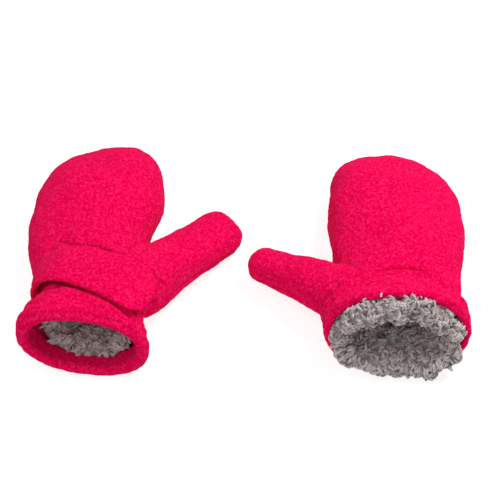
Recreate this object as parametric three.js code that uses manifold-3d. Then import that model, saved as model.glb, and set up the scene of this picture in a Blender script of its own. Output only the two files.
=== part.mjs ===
// A pair of toddler's mittens in thick fleece with a curly pile lining, an elastic wrist and a
// hook-and-loop strap at each wrist. Both lie on a table with their mouths towards -Y.
// Millimetres, +Z up. The origin is on the table under the middle of the pair.
//
// Each mitten is built in its own frame: x towards the thumb, y from the wrist to the fingertips and
// z up, with z = 0 on the table. The right one is mirrored in x, and it lies with its strap beneath.
import * as THREE from "three";
import { LoftGeometry } from "three/addons/geometries/LoftGeometry.js";
import { mergeVertices } from "three/addons/utils/BufferGeometryUtils.js";
import Module from "manifold-3d";

const wasm = await Module();
wasm.setup();

// Brings the middle of the pair's bounding box to the origin.
const PAIR_SHIFT = [2.7, -23.9];

// Cloth thicknesses, and the gap that two layers keep.
const FLEECE = 2.6;
const PILE = 5.2;
const FACING = 2;
const ELASTIC = 1.2;
const STRAP_LAYER = 1.6;
const PATCH = 1.1;
const GAP = 0.4;

// How far the fleece facing is turned into the left mouth, and the elastic's width.
const FACING_DEPTH = 17;
const ELASTIC_WIDTH = 12;
// The pile that is turned out over the right mouth: how far it stands in front and outside.
const ROLL_FRONT = 7;
const ROLL_OUTSIDE = 1.5;

// The strap, its rounded corners and its sewn patches.
const STRAP_WIDTH = 30;
const STRAP_CORNER = 9;
const PATCH_LENGTH = 32;
const PATCH_WIDTH = 20;
const PATCH_INSET = 6;
const STRAP_ROOT_GAP = 1;
const LOOP_REACH = 14; // how deep below the strap its loop patch is looked for

// The pattern's rounded fingertips and section powers (2 is an ellipse).
const TIP_SHIFT = 13;
const TIP_DROP = 3;
const TOP_POWER = 2.2;
const BOTTOM_POWER = 2.7;
const MOUTH_ROUNDER = 0.5;

const THUMB_POWER = 2.4;

const RING_POINTS = 20;
const TIP_STEPS = 5;
const THUMB_TIP_STEPS = 3;
const STRAP_STEPS = 16;
const TIP_END = 0.96; // the last ring's share of the quarter turn that rounds a tip
const FAR = 200;

// How each mitten lies. Stations of the hand, from the mouth to the shoulder: y, half width, half
// height, centre x, centre z, and the share of the mouth's lean and yaw that the ring takes.
// Stations of the thumb along its own axis: distance, half width, half height, centre z.
const LEFT = {
  name: "left",
  x: -107,
  y: 0,
  turnDeg: -3,
  mirror: 1,
  stations: [
    [-57, 43.5, 26.5, 4.5, 26, 1],
    [-42, 41, 26, 2.5, 26, 0.9],
    [-27, 38, 24.5, 1.5, 26, 0.7],
    [-11, 36, 20, 1, 27, 0.4],
    [8, 37.5, 24.5, -2, 26.5, 0.1],
    [32, 40.7, 26.5, -3.5, 26, 0],
    [63, 45, 26, -1, 25.4, 0],
  ],
  tipY: 116,
  lean: 0.28,
  yaw: -0.08,
  waistY: -11,
  thumbRoot: [31.5, -7.5],
  thumbDeg: 48,
  thumbStations: [
    [-12, 25, 20, 25],
    [14, 21.5, 18, 23],
    [36, 20.3, 15.5, 19.5],
    [54, 20.5, 13.5, 16.5],
    [72, 19.6, 11.5, 14],
  ],
  thumbTip: 90,
  crotch: [38, 29.5],
  thumbFromX: 38,
  thumbFromY: -30,
  spreadDeg: 75,
  strap: {
    root: [-35, -3],
    seamX: -38.5,
    slantDeg: 17,
    profile: [[0, 27], [1.5, 38], [8, 47.5], [22, 53], [40, 55], [58, 53.5], [74, 49], [86, 43]],
    above: 1,
  },
};
const RIGHT = {
  name: "right",
  x: 99,
  y: -7,
  turnDeg: -2,
  mirror: -1,
  stations: [
    [-45, 48, 28.6, 4.5, 28.6, 1],
    [-34, 46.5, 28.6, 4, 28.6, 0.9],
    [-26, 43.5, 26.5, 3, 29.4, 0.7],
    [-15, 38.5, 21, 1, 30, 0.4],
    [4, 40, 22.5, 0.5, 29.4, 0.15],
    [33, 45, 26.5, 0, 26, 0],
    [62, 46.5, 26, 1, 25.4, 0],
  ],
  tipY: 115,
  lean: 0.22,
  yaw: 0,
  waistY: -15,
  thumbRoot: [28, -16.7],
  thumbDeg: 31,
  thumbStations: [
    [-12, 24, 20, 28],
    [14, 20, 18, 26],
    [36, 16.5, 15.5, 22.5],
    [54, 14.4, 13, 19],
    [72, 12.4, 10.5, 16],
  ],
  thumbTip: 83,
  crotch: [42.3, 12.8],
  thumbFromX: 43,
  thumbFromY: -36,
  spreadDeg: 65,
  strap: {
    root: [-38, -13],
    seamX: -44,
    slantDeg: 0,
    profile: [[0, 29], [1.5, 18], [8, 9], [20, 5.2], [40, 4.4], [54, 5.6], [66, 9.5]],
    above: -1,
  },
};

const FLEECE_RED = { color: 0xf20a52, roughness: 0.95, metalness: 0 };
const PILE_GREY = { color: 0x928685, roughness: 1, metalness: 0 };
const ELASTIC_WHITE = { color: 0xe8e6e2, roughness: 0.8, metalness: 0 };
const PATCH_RED = { color: 0xb8083f, roughness: 0.7, metalness: 0 };

const signedPower = (value, power) => Math.sign(value) * Math.abs(value) ** power;

// A closed ring, a superellipse with its own power above and below the middle.
function ring(halfWidth, halfHeight, topPower, bottomPower, place) {
  const points = [];
  for (let i = 0; i < RING_POINTS; i++) {
    const angle = (-i / RING_POINTS) * 2 * Math.PI;
    const power = Math.sin(angle) >= 0 ? topPower : bottomPower;
    const across = halfWidth * signedPower(Math.cos(angle), 2 / power);
    const up = halfHeight * signedPower(Math.sin(angle), 2 / power);
    points.push(place(across, up));
  }
  return points;
}

// A closed geometry as a solid for joining and cutting.
function solid(geometry) {
  const bare = new THREE.BufferGeometry()
    .setAttribute("position", geometry.getAttribute("position"))
    .setIndex(geometry.index);
  const merged = mergeVertices(bare, 1e-4);
  return new wasm.Manifold(
    new wasm.Mesh({
      numProp: 3,
      vertProperties: merged.attributes.position.array,
      triVerts: new Uint32Array(merged.index.array),
    }),
  );
}

const loft = (rings) => solid(new LoftGeometry(rings, { capStart: true, capEnd: true }));

// The solid inside the hand's skin when the skin is moved inwards by inset. It may reach past the
// mouth, so that a smaller one opens a larger one there.
function handSolid(spec, inset, past = 0) {
  const handRing = (y, halfWidth, halfHeight, x, z, share) =>
    ring(halfWidth, halfHeight, TOP_POWER, BOTTOM_POWER - MOUTH_ROUNDER * share, (across, up) =>
      new THREE.Vector3(
        x + across,
        y + share * (spec.lean * up + spec.yaw * across),
        z + up,
      ),
    );
  const [mouthY, ...mouth] = spec.stations[0];
  const stations = past > 0 ? [[mouthY - past, ...mouth], ...spec.stations] : spec.stations;
  const rings = stations.map(([y, halfWidth, halfHeight, x, z, share]) =>
    handRing(y, halfWidth - inset, halfHeight - inset, x, z, share),
  );
  const [shoulderY, halfWidth, halfHeight, x, z] = spec.stations.at(-1);
  for (let i = 1; i <= TIP_STEPS; i++) {
    const turn = (i / TIP_STEPS) * TIP_END * (Math.PI / 2);
    const along = Math.sin(turn);
    const shrink = Math.cos(turn) ** 0.92;
    rings.push(
      handRing(
        shoulderY + (spec.tipY - shoulderY - inset) * along,
        (halfWidth - inset) * shrink,
        (halfHeight - inset) * shrink,
        x + TIP_SHIFT * along ** 2,
        z - TIP_DROP * along,
        0,
      ),
    );
  }
  return loft(rings);
}

// A point of the thumb: distance along its axis, across it and up.
function thumbPoint(spec, distance, across, z) {
  const turn = THREE.MathUtils.degToRad(spec.thumbDeg);
  return new THREE.Vector3(
    spec.thumbRoot[0] + Math.cos(turn) * distance + Math.sin(turn) * across,
    spec.thumbRoot[1] + Math.sin(turn) * distance - Math.cos(turn) * across,
    z,
  );
}

function thumbSolid(spec, inset) {
  const thumbRing = (distance, halfWidth, halfHeight, z) =>
    ring(
      halfWidth - inset,
      halfHeight - inset,
      THUMB_POWER,
      THUMB_POWER,
      (across, up) => thumbPoint(spec, distance, across, z + up),
    );
  const rings = spec.thumbStations.map((station) => thumbRing(...station));
  const [start, halfWidth, halfHeight, z] = spec.thumbStations.at(-1);
  for (let i = 1; i <= THUMB_TIP_STEPS; i++) {
    const turn = (i / THUMB_TIP_STEPS) * TIP_END * (Math.PI / 2);
    const shrink = Math.cos(turn) ** 0.8;
    rings.push(
      ring(
        (halfWidth - inset) * shrink,
        (halfHeight - inset) * shrink,
        THUMB_POWER,
        THUMB_POWER,
        (across, up) =>
          thumbPoint(spec, start + (spec.thumbTip - start - inset) * Math.sin(turn), across, z + up),
      ),
    );
  }
  return loft(rings);
}

const blank = (spec, inset, past = 0) =>
  handSolid(spec, inset, past).add(thumbSolid(spec, inset));

// A hollow layer of the whole mitten between two insets, open at the mouth.
const layer = (spec, from, thickness) =>
  blank(spec, from).subtract(blank(spec, from + thickness, 2 * FACING_DEPTH));

// A four-cornered solid through a list of sections, each as low and high z at a place.
function band(sections, pointAt) {
  return loft(
    sections.map(([along, low, high]) => [
      pointAt(along, FAR, high),
      pointAt(along, FAR, low),
      pointAt(along, -FAR, low),
      pointAt(along, -FAR, high),
    ]),
  );
}

// Everything above (side 1) or below (side -1) the seam that runs round the hand or the thumb.
function seamSide(side, levels, pointAt) {
  const sections = levels.map(([along, z]) => {
    const edge = z + (side * GAP) / 2;
    return side > 0 ? [along, edge, FAR] : [along, -FAR, edge];
  });
  return band(sections, pointAt);
}

function handSide(spec, side) {
  const levels = spec.stations.map((row) => [row[0], row[4]]);
  const first = [-FAR, levels[0][1]];
  const last = [FAR, levels.at(-1)[1] - TIP_DROP];
  return seamSide(side, [first, ...levels, last], (y, x, z) => new THREE.Vector3(x, y, z));
}

function thumbSide(spec, side) {
  const levels = spec.thumbStations.map((row) => [row[0], row[3]]);
  const first = [-FAR, levels[0][1]];
  const last = [FAR, levels.at(-1)[1]];
  return seamSide(side, [first, ...levels, last], (distance, across, z) =>
    thumbPoint(spec, distance, across, z),
  );
}

// The slab between two planes that lean and turn as the mouth does, given from the mouth inwards.
function mouthSlab(spec, from, to) {
  const [mouthY, , , x, z] = spec.stations[0];
  const corner = (y, across, up) =>
    new THREE.Vector3(x + across, mouthY + y + spec.lean * up + spec.yaw * across, z + up);
  const section = (y) => [[FAR, FAR], [FAR, -FAR], [-FAR, -FAR], [-FAR, FAR]]
    .map(([across, up]) => corner(y, across, up));
  return loft([section(from), section(to)]);
}

// An upright prism over a plan outline.
function prism(outline) {
  const shape = new THREE.Shape(outline.map(([x, y]) => new THREE.Vector2(x, y)));
  const geometry = new THREE.ExtrudeGeometry(shape, { depth: 2 * FAR, bevelEnabled: false });
  geometry.translate(0, 0, -FAR);
  return solid(indexed(geometry));
}

function indexed(geometry) {
  geometry.deleteAttribute("normal");
  geometry.deleteAttribute("uv");
  return mergeVertices(geometry, 1e-4);
}

// The ground that the thumb's own cloth stands on. It is cut off the hand at the crotch, where
// the thumb turns, and its inner edge leaves the hand's side whole.
function thumbGround(spec, grow) {
  const [x, y] = spec.crotch;
  const spread = THREE.MathUtils.degToRad(spec.spreadDeg);
  return prism([
    [x - grow, y],
    [spec.thumbFromX - grow, y - 8],
    [spec.thumbFromX - grow, spec.thumbFromY - grow],
    [FAR, spec.thumbFromY - grow],
    [FAR, y],
    [x - grow + FAR * Math.cos(spread), y + FAR * Math.sin(spread)],
  ]);
}

// The line that the strap's sheet follows: along the strap and up.
const strapLine = (spec) =>
  new THREE.CatmullRomCurve3(
    spec.strap.profile.map(([along, z]) => new THREE.Vector3(along, z, 0)),
  );

// A piece of the strap's sheet: where it starts and ends along the line, its half width, and the
// heights of its two faces over the line. The sheet bends only along its length.
function strapSheet(spec, start, end, halfWidth, inner, outer, corner = 0) {
  const { root, slantDeg, above } = spec.strap;
  const slant = THREE.MathUtils.degToRad(slantDeg);
  const line = strapLine(spec);
  const length = line.getLength();
  const rings = [];
  for (let i = 0; i <= STRAP_STEPS; i++) {
    const reach = start + ((end - start) * i) / STRAP_STEPS;
    const point = line.getPointAt(reach / length);
    const tangent = line.getTangentAt(reach / length);
    const cut = Math.max(0, corner - (end - reach));
    const half = halfWidth - corner + Math.sqrt(corner ** 2 - cut ** 2);
    const at = (across, height) => {
      const along = point.x - above * tangent.y * height;
      return new THREE.Vector3(
        root[0] + Math.cos(slant) * along + Math.sin(slant) * across,
        root[1] - Math.sin(slant) * along + Math.cos(slant) * across,
        point.y + above * tangent.x * height,
      );
    };
    const section = [at(-half, outer), at(-half, inner), at(half, inner), at(half, outer)];
    rings.push(above > 0 ? section : section.reverse());
  }
  return loft(rings);
}

function strapPieces(spec) {
  const { seamX } = spec.strap; // the side seam that the strap's root end is sewn along
  const length = strapLine(spec).getLength();
  const patchEnd = length - PATCH_INSET;
  const patchStart = patchEnd - PATCH_LENGTH;
  const loopTop = blank(spec, -GAP - PATCH, 1);
  const loop = loopTop
    .subtract(blank(spec, -GAP, 2))
    .intersect(strapSheet(spec, patchStart, patchEnd, PATCH_WIDTH / 2, -LOOP_REACH, 0))
    .subtract(thumbGround(spec, GAP));
  const skins = blank(spec, -2 * GAP - PATCH, 1);
  const besideSeam = prism([[seamX, -FAR], [FAR, -FAR], [FAR, FAR], [seamX, FAR]]);
  const sheet = (inner, outer) =>
    strapSheet(spec, STRAP_ROOT_GAP, length, STRAP_WIDTH / 2, inner, outer, STRAP_CORNER)
      .intersect(besideSeam);
  const hook = strapSheet(spec, patchStart, patchEnd, PATCH_WIDTH / 2, -GAP - PATCH, -GAP);
  return {
    strap_under: [sheet(0, STRAP_LAYER).subtract(skins), FLEECE_RED],
    strap_top: [sheet(STRAP_LAYER + GAP, 2 * STRAP_LAYER + GAP).subtract(skins), FLEECE_RED],
    hook_patch: [hook.subtract(skins), PATCH_RED],
    loop_patch: [loop, PATCH_RED],
  };
}

// The elastic between shell and lining, grown on every side by grow. It goes round the wrist
// from one side of the thumb's way in to the other.
function waistBand(spec, grow) {
  const waist = spec.waistY - spec.stations[0][0];
  const half = ELASTIC_WIDTH / 2 + grow;
  const outer = FLEECE + GAP - grow / 2;
  return handSolid(spec, outer)
    .subtract(handSolid(spec, FLEECE + GAP + ELASTIC + grow, 1))
    .intersect(mouthSlab(spec, waist - half, waist + half))
    .subtract(thumbSolid(spec, FLEECE + GAP + grow));
}

function mittenPieces(spec) {
  const table = prism([[-FAR, -FAR], [FAR, -FAR], [FAR, FAR], [-FAR, FAR]])
    .translate([0, 0, FAR]);
  const inside = FLEECE + GAP;
  const shell = layer(spec, 0, FLEECE).intersect(table);
  const elasticRoom = waistBand(spec, GAP);
  let lining = layer(spec, inside, PILE).subtract(elasticRoom);
  const pieces = {};
  if (spec.mirror > 0) {
    pieces.cuff_facing = [
      layer(spec, inside, FACING).intersect(mouthSlab(spec, 0, FACING_DEPTH)),
      FLEECE_RED,
    ];
    lining = lining.subtract(mouthSlab(spec, -FAR, FACING_DEPTH + GAP));
  } else {
    const roll = handSolid(spec, -ROLL_OUTSIDE, 2 * ROLL_FRONT)
      .intersect(mouthSlab(spec, -ROLL_FRONT, -GAP));
    lining = blank(spec, inside, 2 * ROLL_FRONT)
      .intersect(mouthSlab(spec, -ROLL_FRONT, FAR))
      .add(roll)
      .subtract(blank(spec, inside + PILE, 2 * FACING_DEPTH))
      .subtract(elasticRoom)
      .intersect(table);
  }
  pieces.wrist_elastic = [waistBand(spec, 0), ELASTIC_WHITE];
  const ground = thumbGround(spec, 0);
  const cutHand = thumbGround(spec, GAP);
  const sides = { back: 1, palm: -1 };
  for (const [side, sign] of Object.entries(sides)) {
    const up = sign * spec.strap.above;
    for (const [what, body, finish] of [
      ["shell", shell, FLEECE_RED],
      ["lining", lining, PILE_GREY],
    ]) {
      const hand = body.subtract(cutHand).intersect(handSide(spec, up));
      const thumb = body.intersect(ground).intersect(thumbSide(spec, up));
      pieces[`${what}_${side}`] = [hand, finish];
      pieces[`thumb_${what}_${side}`] = [thumb, finish];
    }
  }
  return { ...pieces, ...strapPieces(spec) };
}

function geometryOf(body) {
  const { vertProperties, triVerts } = body.getMesh();
  return new THREE.BufferGeometry()
    .setAttribute("position", new THREE.BufferAttribute(vertProperties.slice(), 3))
    .setIndex(new THREE.BufferAttribute(triVerts.slice(), 1));
}

// The largest body of a solid, without the slivers that its cuts leave.
const mainBody = (body) =>
  body.decompose().reduce((a, b) => (a.volume() > b.volume() ? a : b));

// A solid as a mesh, mirrored for the right mitten.
function meshOf(name, body, finish, mirror) {
  const geometry = geometryOf(mainBody(body));
  if (mirror < 0) {
    geometry.scale(-1, 1, 1);
    geometry.index.array.reverse();
  }
  geometry.computeVertexNormals();
  const mesh = new THREE.Mesh(geometry, new THREE.MeshStandardMaterial(finish));
  mesh.name = name;
  return mesh;
}

const pair = new THREE.Group();
pair.position.set(...PAIR_SHIFT, 0);
for (const spec of [LEFT, RIGHT]) {
  const mitten = new THREE.Group();
  mitten.position.set(spec.x, spec.y, 0);
  mitten.rotation.z = THREE.MathUtils.degToRad(spec.turnDeg);
  for (const [name, [body, finish]] of Object.entries(mittenPieces(spec))) {
    mitten.add(meshOf(`${spec.name}_${name}`, body, finish, spec.mirror));
  }
  pair.add(mitten);
}

export default pair;
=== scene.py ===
import math

import bpy
import numpy as np
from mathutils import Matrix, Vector
from mathutils.bvhtree import BVHTree


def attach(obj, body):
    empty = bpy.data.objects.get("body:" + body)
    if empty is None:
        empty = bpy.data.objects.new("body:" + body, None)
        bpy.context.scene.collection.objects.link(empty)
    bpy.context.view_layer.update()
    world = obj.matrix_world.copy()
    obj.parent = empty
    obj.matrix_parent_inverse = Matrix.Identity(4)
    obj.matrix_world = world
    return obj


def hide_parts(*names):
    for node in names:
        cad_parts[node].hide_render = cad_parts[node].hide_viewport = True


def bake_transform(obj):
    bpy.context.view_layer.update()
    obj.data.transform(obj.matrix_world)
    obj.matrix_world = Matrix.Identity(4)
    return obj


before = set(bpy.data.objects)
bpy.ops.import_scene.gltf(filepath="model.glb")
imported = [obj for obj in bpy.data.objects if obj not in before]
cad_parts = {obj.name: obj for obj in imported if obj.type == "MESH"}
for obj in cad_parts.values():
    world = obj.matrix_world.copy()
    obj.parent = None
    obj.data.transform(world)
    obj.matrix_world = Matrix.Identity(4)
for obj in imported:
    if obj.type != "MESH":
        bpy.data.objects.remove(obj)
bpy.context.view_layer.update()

MM = 0.001

# The middle of the pair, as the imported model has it.
PAIR_SHIFT = (2.7, -23.9)

# Cloth thicknesses.
FLEECE = 2.6
PILE = 5.2
FACING = 2.9
LAYER_GAP = 0.4
LINING_INSET = 4.9  # the lining's backing, clear of the shell's deepest folds
STRAP_THICK = 4.2
PATCH_THICK = 1.0
ELASTIC_WIDTH = 12.0
ELASTIC_THICK = 1.0
ELASTIC_INSET = 4.6

FACING_DEPTH = 17.0
LIP_INSET = 3.6  # how far the cuff turns in at its mouth
LIP_DEPTH = 8.5
ROLL_INSET = 7.4  # how far inside the right mouth's skin the rolled-out pile starts
ROLL_SAG = 4.0  # how much lower the rolled-out pile's underside hangs
ROLL_LIFT = 2.4  # how much higher its upper side bulges
ROLL_CORNER = 5.0  # how far it hangs forward at its lower corner
LOWER_FORWARD = 7.0  # how much nearer the left mouth the lining's lower edge lies
STRAP_WIDTH = 30.0
STRAP_CORNER = 11.0
STRAP_EDGE = 0.6  # how far its soft edge bulges beyond the cut
STITCH_INSET = 4.4
ROOT_FLARE_FADE = (8, 56)  # where along the strap its root's extra width goes
END_FLARE_FADE = (30, 90)  # where its free end's extra width comes
ELASTIC_OPENING = 18.0  # half the opening that the elastic leaves for the thumb
PATCH_LENGTH = 32.0
PATCH_WIDTH = 20.0
PATCH_INSET = 6.0
LOOP_REACH = 20.0  # how far beyond the strap its loop patch is looked for
LOOP_MARGIN = 5.0  # how far from the thumb's root the loop patch ends

BEND_START = 4.0  # how far beyond the crotch the thumb's cloth starts to bend
BEND_LENGTH = 14.0

# The pattern's rounded fingertips and section powers (2 is an ellipse).
TIP_SHIFT = 13.0
TIP_DROP = 3.0
TOP_POWER = 2.2
BOTTOM_POWER = 2.7
MOUTH_ROUNDER = 0.5
THUMB_POWER = 2.4
TIP_END = 0.985

# Mesh sizes.
SHELL_VOXEL = 1.0
LINING_VOXEL = 1.5
RING_POINTS = 120
HAND_STEPS = 48
THUMB_STEPS = 30
TIP_STEPS = 22
STRAP_ROWS = 92
STRAP_COLUMNS = 72
PATCH_ROWS = 25
PATCH_COLUMNS = 17
FINE_STEPS = 600  # points of a curve that is measured along its length

RING_ANGLE = np.linspace(0, 2 * math.pi, RING_POINTS, endpoint=False)[None, :]
TIP_TURN = np.linspace(0, TIP_END * math.pi / 2, TIP_STEPS + 1)[1:]  # how far a tip's rings have closed

# The lining's curled strands.
CURL_RINGS = 6
CURL_SIDES = 4
CURL_COUNT = 4300
CURL_DEPTH = 62.0  # how far behind the mouth they grow
CURL_LENGTH = (4.2, 7.0)
CURL_BEND = (2.6, 4.6)  # radians from root to tip
CURL_RADIUS = (0.85, 1.3)
CURL_LOCK = 7.5  # how wide a lock of strands that lean the same way is
CURL_ROOTED = 0.8  # how deep in the backing a strand starts

# The fleece's relief.
SEAM_DEPTH = 0.8
DEEPEST_FOLD = 4.2
LOWEST_CLOTH = 0.9  # how high above the table cloth starts to be pressed flat

# Stations of the hand, from the mouth to the shoulder: y, half width, half height, centre x,
# centre z, and the share of the mouth's lean and yaw that the ring takes. Stations of the thumb
# along its own axis: distance, half width, half height, centre z. strap_line is the strap's
# middle, seen along its width: distance from its root, and z. root_tuck moves the strap's lower
# edge towards the thumb at its root. root_flare and end_flare are how much wider it is cut at its
# root and its free end. lip_rise lifts the mouth's upper edge, and lip_drop draws its lower one
# forward. Angles are in degrees, and lean, roll, yaw and seam_roll are slopes.
LEFT = {
    "name": "left",
    "place": (-107.0, 0.0),
    "turn": -3.0,
    "mirror": 1,
    "stations": [
        (-59.5, 43.5, 26.5, 4.5, 26, 1),
        (-47, 40.2, 26.2, 4.3, 26, 0.9),
        (-36, 34.8, 25.4, 5.6, 26, 0.8),
        (-27, 31, 23, 5.5, 26, 0.65),
        (-11, 33.5, 20, 1.7, 27, 0.4),
        (8, 37.5, 24.5, -2, 26.5, 0.1),
        (32, 40.7, 26.5, -3.5, 26, 0),
        (63, 44, 26, 0, 25.4, 0),
    ],
    "tip_y": 114.5,
    "lean": 0.28,
    "roll": 0.13,
    "yaw": -0.01,
    "waist_y": -11.0,
    "thumb_root": (31.5, -7.5),
    "thumb_turn": 48.0,
    "thumb_stations": [
        (-12, 19, 18, 25),
        (0, 21, 19, 24.2),
        (14, 19.6, 18, 23),
        (36, 17.8, 15.5, 19.5),
        (54, 17.8, 13.5, 16.5),
        (72, 17.4, 11.5, 14),
    ],
    "thumb_tip": 89.0,
    "thumb_blunt": 0.45,
    "crotch": (38.0, 29.5),
    "thumb_from": (38.0, -30.0),
    "spread": 75.0,
    "strap_root": (-33.0, -3.0),
    "strap_slant": 20.0,
    "strap_line": [
        (5, 17), (3, 25), (4.8, 35), (10, 42.5), (22, 48.8),
        (40, 51), (57, 49.8), (72, 46), (83, 40),
    ],
    "strap_above": 1,
    "root_tuck": 4.5,
    "root_flare": 8.0,
    "end_flare": 6.0,
    "lip_rise": 0.0,
    "lip_drop": 0.0,
    "seam_roll": 0.24,
    "seed": 11,
}
RIGHT = {
    "name": "right",
    "place": (99.0, -7.0),
    "turn": -2.0,
    "mirror": -1,
    "stations": [
        (-45, 48, 28.6, 4.5, 28.6, 1),
        (-36, 46, 28.6, 4.4, 28.6, 0.9),
        (-29, 42.5, 26.5, 3.8, 29.2, 0.75),
        (-14, 38.5, 20.6, 1, 29.6, 0.4),
        (4, 40, 22.5, 0.5, 29.4, 0.15),
        (33, 45, 26.5, 0, 26, 0),
        (62, 45.2, 26, 2, 25.4, 0),
    ],
    "tip_y": 112.5,
    "lean": 0.22,
    "roll": 0.0,
    "yaw": 0.0,
    "waist_y": -15.0,
    "thumb_root": (28.0, -18.9),
    "thumb_turn": 31.6,
    "thumb_stations": [
        (-12, 22.5, 20, 28),
        (14, 17.8, 18, 26),
        (36, 14.8, 15.5, 22.5),
        (54, 13.3, 13, 19),
        (72, 11.8, 10.5, 16),
    ],
    "thumb_tip": 83.0,
    "thumb_blunt": 0.8,
    "crotch": (42.3, 12.8),
    "thumb_from": (43.0, -36.0),
    "spread": 65.0,
    "strap_root": (-38.0, -13.0),
    "strap_slant": 0.0,
    "strap_line": [(4, 21), (5.5, 15), (11, 8.6), (21, 5.4), (40, 4.6), (54, 5.6), (66, 9)],
    "strap_above": -1,
    "root_tuck": 0.0,
    "root_flare": 0.0,
    "end_flare": 0.0,
    "lip_rise": 3.2,
    "lip_drop": 3.8,
    "seam_roll": 0.1,
    "seed": 47,
}


# ---------------------------------------------------------------- small mathematics

def signed_power(value, power):
    return np.sign(value) * np.abs(value) ** power


def fade(value, start, end):
    """0 before start, 1 after end and smooth between them."""
    share = np.clip((value - start) / (end - start), 0.0, 1.0)
    return share * share * (3.0 - 2.0 * share)


def columns_of(*parts):
    """The parts, made equally long, as the columns of one array."""
    return np.stack(np.broadcast_arrays(*parts), axis=-1)


def peak(value, width):
    """A smooth bump of height 1 where value is 0."""
    return np.exp(-((value / width) ** 2))


def unit(vectors):
    return vectors / np.maximum(np.linalg.norm(vectors, axis=-1, keepdims=True), 1e-9)


def ripples(points, wavelength, seed, waves=16):
    """A smooth random relief of about unit height, from plane waves in random directions."""
    rng = np.random.default_rng(seed)
    directions = unit(rng.normal(size=(waves, 3)))
    lengths = wavelength * rng.uniform(0.75, 1.3, waves)
    phases = rng.uniform(0, 2 * math.pi, waves)
    turns = points @ (directions.T * (2 * math.pi / lengths)) + phases
    return np.sin(turns).sum(axis=1) * math.sqrt(2.0 / waves)


def smooth_rows(rows, places):
    """The rows at the places in their first column, on smooth curves through the given ones."""
    rows = np.asarray(rows, dtype=float)
    x = rows[:, 0]
    slopes = np.gradient(rows, x, axis=0)
    index = np.clip(np.searchsorted(x, places, side="right") - 1, 0, len(x) - 2)
    span = (x[index + 1] - x[index])[:, None]
    t = np.clip((places - x[index])[:, None] / span, 0.0, 1.0)
    a, b = rows[index], rows[index + 1]
    da, db = slopes[index] * span, slopes[index + 1] * span
    return (
        (2 * t**3 - 3 * t**2 + 1) * a
        + (t**3 - 2 * t**2 + t) * da
        + (3 * t**2 - 2 * t**3) * b
        + (t**3 - t**2) * db
    )


def turned(spec, vectors):
    """Directions of a mitten's own frame in the row frame."""
    turn = math.radians(spec["turn"])
    x, y = vectors[:, 0] * spec["mirror"], vectors[:, 1]
    moved = vectors.copy()
    moved[:, 0] = math.cos(turn) * x - math.sin(turn) * y
    moved[:, 1] = math.sin(turn) * x + math.cos(turn) * y
    return moved


def to_row_frame(spec, points):
    """Points of a mitten's own frame, in millimetres, in the row frame, in metres."""
    (place_x, place_y), (shift_x, shift_y) = spec["place"], PAIR_SHIFT
    return (turned(spec, points) + (shift_x + place_x, shift_y + place_y, 0)) * MM


def at(spec, x, y, z):
    """A point of a mitten's own frame in the row frame."""
    return tuple(to_row_frame(spec, np.array([[x, y, z]], dtype=float))[0])


# ---------------------------------------------------------------- meshes

def in_scene(name, data):
    """A new object of the scene."""
    made = bpy.data.objects.new(name, data)
    bpy.context.scene.collection.objects.link(made)
    return made


def make_object(name, points, faces):
    mesh = bpy.data.meshes.new(name)
    mesh.from_pydata(points.tolist(), [], faces)
    mesh.polygons.foreach_set("use_smooth", [True] * len(mesh.polygons))
    mesh.update()
    return in_scene(name, mesh)


def placed(spec, name, points, faces):
    """An object in the row frame, from the mitten's own points. A mirrored one's faces are turned."""
    if spec["mirror"] < 0:
        faces = [face[::-1] for face in faces]
    return make_object(name, to_row_frame(spec, points), faces)


def read(items, field, width, kind=float):
    """A field of a mesh's items as an array with the given width."""
    values = np.empty(len(items) * width, dtype=kind)
    items.foreach_get(field, values)
    return values.reshape(-1, width)


def mesh_arrays(mesh):
    """A quad mesh's points, faces, edges and the points' normals."""
    corners = read(mesh.loops, "vertex_index", 1, int).reshape(-1, 4)
    edges = read(mesh.edges, "vertices", 2, int)
    return read(mesh.vertices, "co", 3), corners, edges, read(mesh.vertex_normals, "vector", 3)


def tube_faces(rows, columns):
    """Quads between rows of a grid whose columns close on themselves."""
    grid = np.arange(rows * columns).reshape(rows, columns)
    right = np.roll(grid, -1, axis=1)
    quads = np.stack([grid[:-1], grid[1:], right[1:], right[:-1]], axis=-1)
    return quads.reshape(-1, 4).tolist()


def closed_solid(name, rings):
    """A solid through rings of points, closed with a fan of faces at each end."""
    rows, columns, _ = rings.shape
    points = np.vstack([rings.reshape(-1, 3), rings[0].mean(axis=0), rings[-1].mean(axis=0)])
    faces = tube_faces(rows, columns)
    first, last = rows * columns, rows * columns + 1
    for i in range(columns):
        j = (i + 1) % columns
        faces.append([first, i, j])
        faces.append([last, (rows - 1) * columns + j, (rows - 1) * columns + i])
    return make_object(name, points * MM, faces)


def with_modifiers(item):
    """Applies the object's modifiers."""
    bpy.context.view_layer.update()
    mesh = bpy.data.meshes.new_from_object(item.evaluated_get(bpy.context.evaluated_depsgraph_get()))
    item.modifiers.clear()
    old, item.data = item.data, mesh
    bpy.data.meshes.remove(old)
    return item


def joined(first, other, operation):
    """first joined with or cut by other, which is removed."""
    cut = first.modifiers.new("cut", "BOOLEAN")
    cut.operation = operation
    cut.solver = "MANIFOLD"
    cut.object = other
    with_modifiers(first)
    bpy.data.objects.remove(other)
    return first


def remeshed(item, voxel):
    """The object's surface rebuilt from even quads of the voxel's size."""
    remesh = item.modifiers.new("voxels", "REMESH")
    remesh.mode = "VOXEL"
    remesh.voxel_size = voxel * MM
    return with_modifiers(item)


def summed(index, vectors, count):
    """The sum of the vectors that each index has."""
    return columns_of(*(np.bincount(index, column, count) for column in vectors.T))


def relaxed(points, edges, rounds, share=0.5):
    """Points moved towards their neighbours' middle."""
    count = len(points)
    first, other = edges.T
    degree = np.bincount(edges.ravel(), minlength=count)[:, None]
    for _ in range(rounds):
        total = summed(first, points[other], count) + summed(other, points[first], count)
        points = points + share * (total / degree - points)
    return points


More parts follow.
